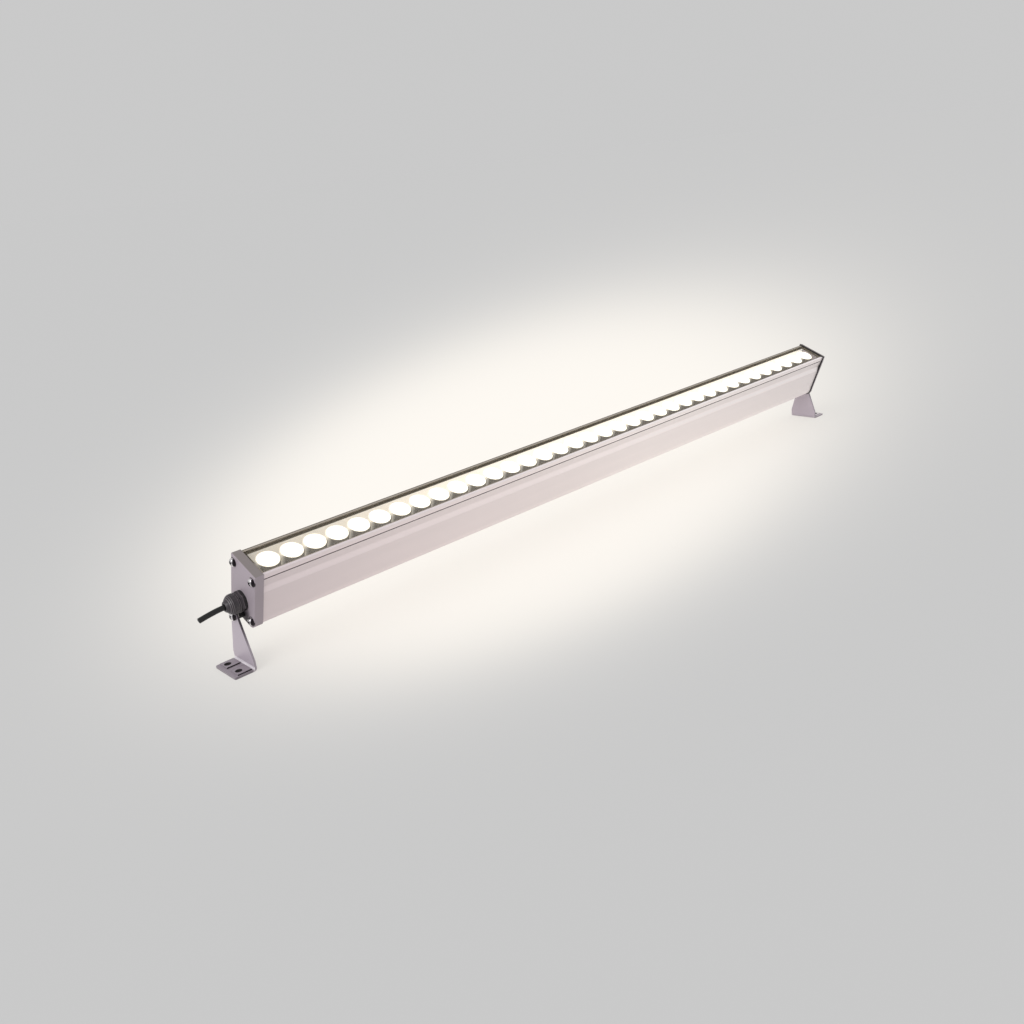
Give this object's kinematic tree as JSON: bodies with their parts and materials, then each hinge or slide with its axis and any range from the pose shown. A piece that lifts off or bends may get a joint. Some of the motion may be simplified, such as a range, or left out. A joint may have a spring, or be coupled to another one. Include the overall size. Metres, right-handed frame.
{
  "type": "outdoor wall washer light",
  "caption": "Slim aluminium bar light with a row of lenses under glass, tilting between two foot brackets, with a cable gland at one end.",
  "frame": {"origin": "on the mounting surface, at the middle of the rectangle of the four foot holes, under the tilt axis", "axes": "+X along the bar away from the cable end, +Z away from the mounting surface, the bar leans towards -Y"},
  "size_m": [1.0807, 0.0672, 0.1227],
  "materials": {
    "anodised_extrusion": "satin silver anodised",
    "cap_paint": "fine sand-textured silver grey paint on die-cast aluminium",
    "bracket_paint": "fine silver grey powder coat on steel sheet",
    "black_rubber": "smooth black sealing rubber",
    "cover_glass": "clear toughened glass",
    "edge_sealant": "grey brown silicone bead",
    "lamp_board": "white solder mask",
    "heat_tape": "grey heat tape",
    "lamp_chip": "phosphor dome on a white base",
    "holder_plastic": "pale moulded plastic",
    "clear_lens": "clear moulded lens",
    "bright_steel": "polished stainless steel",
    "zinc_steel": "zinc plated steel",
    "blackened_steel": "blackened steel",
    "pale_nylon": "natural nylon",
    "link_plastic": "white connector",
    "gland_plastic": "dark grey moulded nylon",
    "cable_jacket": "black cable jacket",
    "lead_insulation": "coloured lead insulation",
    "earth_insulation": "green and yellow insulation",
    "tray_plastic": "black insulating tray",
    "driver_laminate": "green circuit board",
    "terminal_plastic": "green terminal block",
    "fuse_body": "ceramic fuse",
    "varistor_coat": "blue epoxy",
    "film_capacitor": "yellow moulded case",
    "ferrite": "sintered ferrite",
    "rectifier_epoxy": "black epoxy",
    "capacitor_sleeve": "dark capacitor sleeve",
    "heat_sink": "bare aluminium",
    "winding_tape": "yellow winding tape"
  },
  "bodies": {
    "lamp": {"housing_extrusion": "anodised_extrusion", "glass_cover": "cover_glass", "glass_seal": "edge_sealant", "led_board_near": "lamp_board", "led_board_middle": "lamp_board", "led_board_far": "lamp_board", "heat_tapes": "heat_tape", "led_emitters": "lamp_chip", "lens_holders": "holder_plastic", "lenses": "clear_lens", "board_screws": "zinc_steel", "board_links": "link_plastic", "end_cap_near": "cap_paint", "end_cap_far": "cap_paint", "cap_gasket_near": "black_rubber", "cap_gasket_far": "black_rubber", "cap_screws_near": "bright_steel", "cap_screws_far": "bright_steel", "pivot_spacer_near": "blackened_steel", "pivot_spacer_far": "blackened_steel", "friction_washer_near": "pale_nylon", "friction_washer_far": "pale_nylon", "pivot_washer_near": "bright_steel", "pivot_washer_far": "bright_steel", "pivot_bolt_near": "bright_steel", "pivot_bolt_far": "bright_steel", "gland_washer": "black_rubber", "gland_body": "gland_plastic", "gland_seal": "black_rubber", "gland_nut": "gland_plastic", "supply_cable": "cable_jacket", "cable_tail": "cable_jacket", "driver_tray": "tray_plastic", "driver_board": "driver_laminate", "input_terminal": "terminal_plastic", "mains_fuse": "fuse_body", "surge_varistor": "varistor_coat", "suppression_capacitor": "film_capacitor", "mains_choke": "ferrite", "bridge_rectifier": "rectifier_epoxy", "bulk_capacitor": "capacitor_sleeve", "transistor_heat_sink": "heat_sink", "switching_transistor": "rectifier_epoxy", "transformer_core": "ferrite", "transformer_winding": "winding_tape", "output_capacitors": "capacitor_sleeve", "output_terminal": "terminal_plastic", "mains_leads": "lead_insulation", "lamp_leads": "lead_insulation", "earth_lead": "earth_insulation", "earth_tag": "zinc_steel", "earth_screw": "zinc_steel"},
    "near_bracket": {"bracket_near": "bracket_paint"},
    "far_bracket": {"bracket_far": "bracket_paint"}
  },
  "joints": [
    {"name": "near_pivot", "type": "hinge", "parent": "lamp", "child": "near_bracket", "pos_m": [-0.5084, 0, 0.056], "axis": [1, 0, 0], "range_deg": [-56, 103]},
    {"name": "far_pivot", "type": "hinge", "parent": "lamp", "child": "far_bracket", "pos_m": [0.5084, 0, 0.056], "axis": [1, 0, 0], "range_deg": [-56, 103]}
  ]
}
